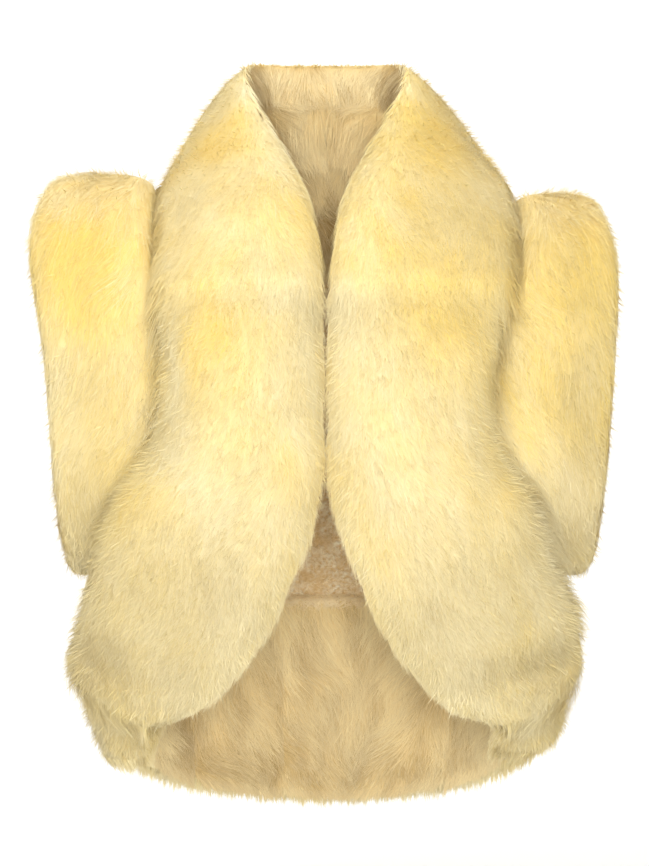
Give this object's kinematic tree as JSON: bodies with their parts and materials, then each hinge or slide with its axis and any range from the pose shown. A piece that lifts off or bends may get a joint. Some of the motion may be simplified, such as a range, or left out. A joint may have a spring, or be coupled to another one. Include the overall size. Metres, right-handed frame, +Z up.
{
  "type": "shearling vest",
  "caption": "Cropped shearling vest with a wide shawl collar, cutaway rounded fronts and cap sleeves, its deep fur pale yellow outside and tan inside; worn open over other clothes.",
  "frame": {"origin": "between the shoulders, level with the shoulder seams, where the wearer's shoulders hold the vest up", "axes": "+Z up towards the collar, -Y out of the front, +X towards the wearer's left arm"},
  "size_m": [0.5424, 0.3327, 0.7043],
  "materials": {
    "fur": "long soft hair in pale yellow, dyed unevenly, with a low sheen",
    "inner_fur": "long tan hair, darker at the roots and seams",
    "lining": "short curled tan wool"
  },
  "bodies": {
    "root": {"collar_left": "fur", "collar_right": "fur", "front_left": "fur", "front_right": "fur", "cap_left": "fur", "cap_right": "fur", "side_left": "fur", "side_right": "fur", "back": "fur", "collar_facing_left": "inner_fur", "collar_facing_right": "inner_fur", "neck_facing": "inner_fur", "back_lining": "lining", "hem_facing_1": "inner_fur", "hem_facing_2": "inner_fur", "hem_facing_3": "inner_fur", "hem_facing_4": "inner_fur"}
  },
  "joints": []
}
